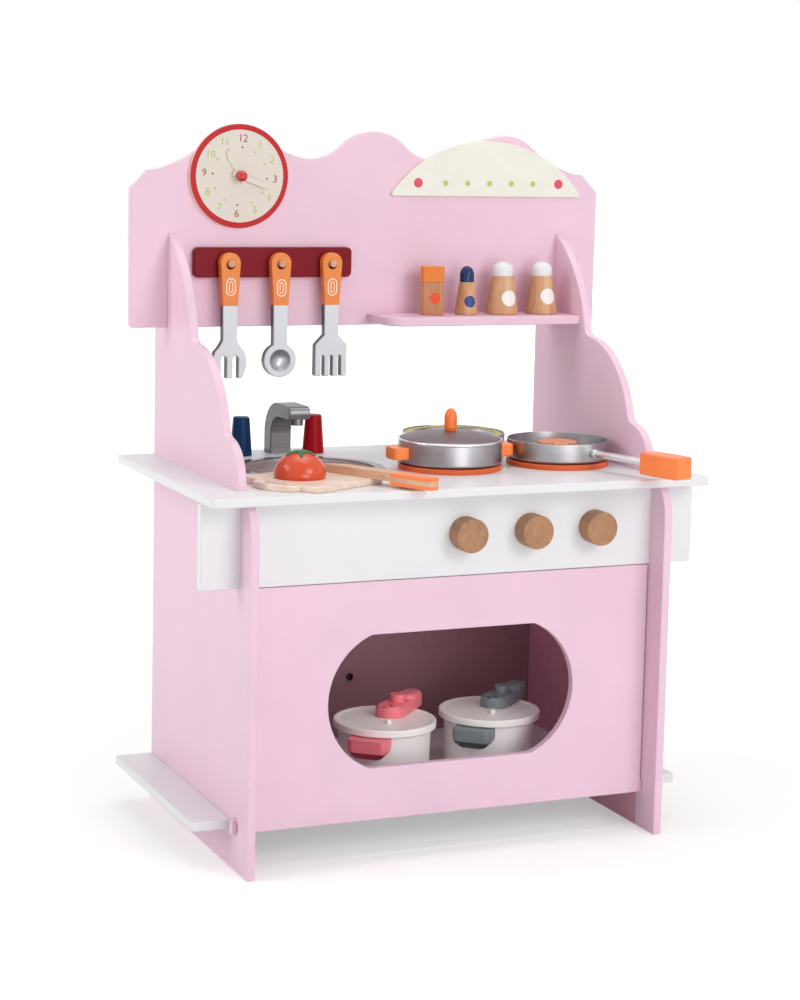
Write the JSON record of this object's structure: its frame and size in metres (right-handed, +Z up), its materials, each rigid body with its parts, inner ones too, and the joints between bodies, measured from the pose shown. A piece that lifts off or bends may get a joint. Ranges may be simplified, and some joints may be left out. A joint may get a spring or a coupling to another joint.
{
  "type": "play kitchen",
  "caption": "Toy kitchen of painted board with an oven door, turning knobs, a sink with a swivel faucet, a hob, a clock, hanging utensils and loose pots, jars and play food.",
  "frame": {"origin": "middle of the footprint of the whole object, on the floor", "axes": "+Z up; -Y the front, with the oven door and knobs; +X to the right as the front is faced"},
  "size_m": [0.6, 0.3974, 0.8063],
  "materials": {
    "pink_paint": "satin paint on board",
    "white_paint": "satin paint on board",
    "dark_red_paint": "satin paint on board",
    "clock_red": "satin paint on board",
    "panel_cream": "satin paint on board",
    "lime_paint": "satin",
    "red_gloss": "gloss",
    "orange_paint": "satin paint on wood",
    "orange_silver": "satin paint, orange grip and silver head",
    "blue_paint": "satin paint on wood",
    "tap_red": "satin paint on wood",
    "beech": "bare turned beech",
    "jar_wood": "bare turned beech",
    "navy_paint": "satin paint on wood",
    "orange_cap": "satin paint on wood",
    "white_cap": "satin paint on wood",
    "steel": "brushed",
    "tomato_red": "satin paint on wood",
    "leaf_green": "satin paint on wood",
    "board_wood": "satin varnish on wood",
    "pale_wood": "bare wood",
    "pink_plastic": "satin",
    "grey_plastic": "satin",
    "shell_white": "satin",
    "grey_metal": "satin silver-grey",
    "bracket_white": "satin",
    "zinc": "zinc plated"
  },
  "bodies": {
    "cabinet": {"left_side_board": "pink_paint", "right_side_board": "pink_paint", "bottom_shelf": "white_paint", "worktop": "white_paint", "control_apron": "white_paint", "door_stop": "pink_paint", "lower_back_board": "pink_paint", "backboard": "pink_paint", "spice_shelf": "pink_paint", "utensil_rack": "dark_red_paint", "utensil_pegs": "beech", "display_panel": "panel_cream", "clock_disc": "clock_red", "clock_pin": "red_gloss", "control_dowels": "beech", "sink_bowl": "steel", "hob_rings": "orange_paint", "corner_brackets": "bracket_white", "backboard_screws": "zinc"},
    "door": {"oven_door": "pink_paint"},
    "knob_left": {"oven_knob_1": "beech"},
    "knob_middle": {"oven_knob_2": "beech"},
    "knob_right": {"oven_knob_3": "beech"},
    "faucet_arm": {"faucet": "grey_metal"},
    "tap_blue": {"cold_tap": "blue_paint"},
    "tap_red": {"hot_tap": "tap_red"},
    "hour": {"hour_hand": "lime_paint"},
    "minute": {"minute_hand": "lime_paint"},
    "utensil_left": {"curved_fork": "orange_silver"},
    "utensil_middle": {"spoon": "orange_silver"},
    "utensil_right": {"square_fork": "orange_silver"},
    "jar_square": {"jar_1_body": "jar_wood", "jar_1_cap": "orange_cap"},
    "jar_small": {"jar_2_body": "jar_wood", "jar_2_cap": "navy_paint"},
    "jar_large_left": {"jar_3_body": "jar_wood", "jar_3_cap": "white_cap"},
    "jar_large_right": {"jar_4_body": "jar_wood", "jar_4_cap": "white_cap"},
    "pot": {"pot_shell": "steel", "pot_grips": "orange_paint"},
    "pot_cover": {"pot_lid": "steel", "pot_lid_knob": "orange_paint"},
    "pan": {"pan_shell": "steel", "pan_rod": "steel", "pan_grip": "orange_paint"},
    "dish": {"serving_dish": "steel"},
    "board": {"chopping_board": "board_wood"},
    "tomato_half": {"tomato": "tomato_red", "tomato_calyx": "leaf_green"},
    "knife": {"knife_blade": "pale_wood", "knife_cheeks": "orange_paint"},
    "cooker_pink": {"pink_cooker_body": "shell_white", "pink_cooker_grip": "pink_plastic"},
    "cooker_pink_cover": {"pink_cooker_lid": "shell_white", "pink_cooker_lever": "pink_plastic"},
    "cooker_grey": {"grey_cooker_body": "shell_white", "grey_cooker_grip": "grey_plastic"},
    "cooker_grey_cover": {"grey_cooker_lid": "shell_white", "grey_cooker_lever": "grey_plastic"}
  },
  "joints": [
    {"name": "door_swing", "type": "hinge", "parent": "cabinet", "child": "door", "pos_m": [0, -0.1033, 0.0506], "axis": [1, 0, 0], "range_deg": [0, 98]},
    {"name": "knob_left_turn", "type": "hinge", "parent": "cabinet", "child": "knob_left", "pos_m": [0.0092, -0.1193, 0.3613], "axis": [0, -1, 0], "continuous": true},
    {"name": "knob_middle_turn", "type": "hinge", "parent": "cabinet", "child": "knob_middle", "pos_m": [0.0902, -0.1193, 0.3613], "axis": [0, -1, 0], "continuous": true},
    {"name": "knob_right_turn", "type": "hinge", "parent": "cabinet", "child": "knob_right", "pos_m": [0.1712, -0.1193, 0.3613], "axis": [0, -1, 0], "continuous": true},
    {"name": "faucet_swing", "type": "hinge", "parent": "cabinet", "child": "faucet_arm", "pos_m": [-0.11, 0.1702, 0.43], "axis": [0, 0, 1], "range_deg": [-45, 45]},
    {"name": "tap_blue_turn", "type": "hinge", "parent": "cabinet", "child": "tap_blue", "pos_m": [-0.161, 0.1567, 0.44], "axis": [0, 0, 1], "continuous": true},
    {"name": "tap_red_turn", "type": "hinge", "parent": "cabinet", "child": "tap_red", "pos_m": [-0.0695, 0.1567, 0.44], "axis": [0, 0, 1], "continuous": true},
    {"name": "hour_turn", "type": "hinge", "parent": "cabinet", "child": "hour", "pos_m": [-0.171, 0.14369, 0.7463], "axis": [0, -1, 0], "continuous": true},
    {"name": "minute_turn", "type": "hinge", "parent": "cabinet", "child": "minute", "pos_m": [-0.171, 0.14169, 0.7463], "axis": [0, -1, 0], "continuous": true},
    {"name": "utensil_left_off", "type": "slide", "parent": "cabinet", "child": "utensil_left", "axis": [0, -1, 0], "range_m": [0, 0.03]},
    {"name": "utensil_middle_off", "type": "slide", "parent": "cabinet", "child": "utensil_middle", "axis": [0, -1, 0], "range_m": [0, 0.03]},
    {"name": "utensil_right_off", "type": "slide", "parent": "cabinet", "child": "utensil_right", "axis": [0, -1, 0], "range_m": [0, 0.03]},
    {"name": "jar_square_lift", "type": "slide", "parent": "cabinet", "child": "jar_square", "axis": [0, 0, 1], "range_m": [0, 0.05]},
    {"name": "jar_small_lift", "type": "slide", "parent": "cabinet", "child": "jar_small", "axis": [0, 0, 1], "range_m": [0, 0.05]},
    {"name": "jar_large_left_lift", "type": "slide", "parent": "cabinet", "child": "jar_large_left", "axis": [0, 0, 1], "range_m": [0, 0.05]},
    {"name": "jar_large_right_lift", "type": "slide", "parent": "cabinet", "child": "jar_large_right", "axis": [0, 0, 1], "range_m": [0, 0.05]},
    {"name": "pot_lift", "type": "slide", "parent": "cabinet", "child": "pot", "axis": [0, 0, 1], "range_m": [0, 0.08]},
    {"name": "pot_cover_lift", "type": "slide", "parent": "pot", "child": "pot_cover", "axis": [0, 0, 1], "range_m": [0, 0.04]},
    {"name": "pan_lift", "type": "slide", "parent": "cabinet", "child": "pan", "axis": [0, 0, 1], "range_m": [0, 0.08]},
    {"name": "dish_lift", "type": "slide", "parent": "cabinet", "child": "dish", "axis": [0, 0, 1], "range_m": [0, 0.05]},
    {"name": "board_lift", "type": "slide", "parent": "cabinet", "child": "board", "axis": [0, 0, 1], "range_m": [0, 0.05]},
    {"name": "tomato_lift", "type": "slide", "parent": "board", "child": "tomato_half", "axis": [0, 0, 1], "range_m": [0, 0.05]},
    {"name": "knife_lift", "type": "slide", "parent": "board", "child": "knife", "axis": [0, 0, 1], "range_m": [0, 0.05]},
    {"name": "cooker_pink_lift", "type": "slide", "parent": "cabinet", "child": "cooker_pink", "axis": [0, 0, 1], "range_m": [0, 0.05]},
    {"name": "cooker_pink_cover_lift", "type": "slide", "parent": "cooker_pink", "child": "cooker_pink_cover", "axis": [0, 0, 1], "range_m": [0, 0.05]},
    {"name": "cooker_grey_lift", "type": "slide", "parent": "cabinet", "child": "cooker_grey", "axis": [0, 0, 1], "range_m": [0, 0.05]},
    {"name": "cooker_grey_cover_lift", "type": "slide", "parent": "cooker_grey", "child": "cooker_grey_cover", "axis": [0, 0, 1], "range_m": [0, 0.05]}
  ]
}
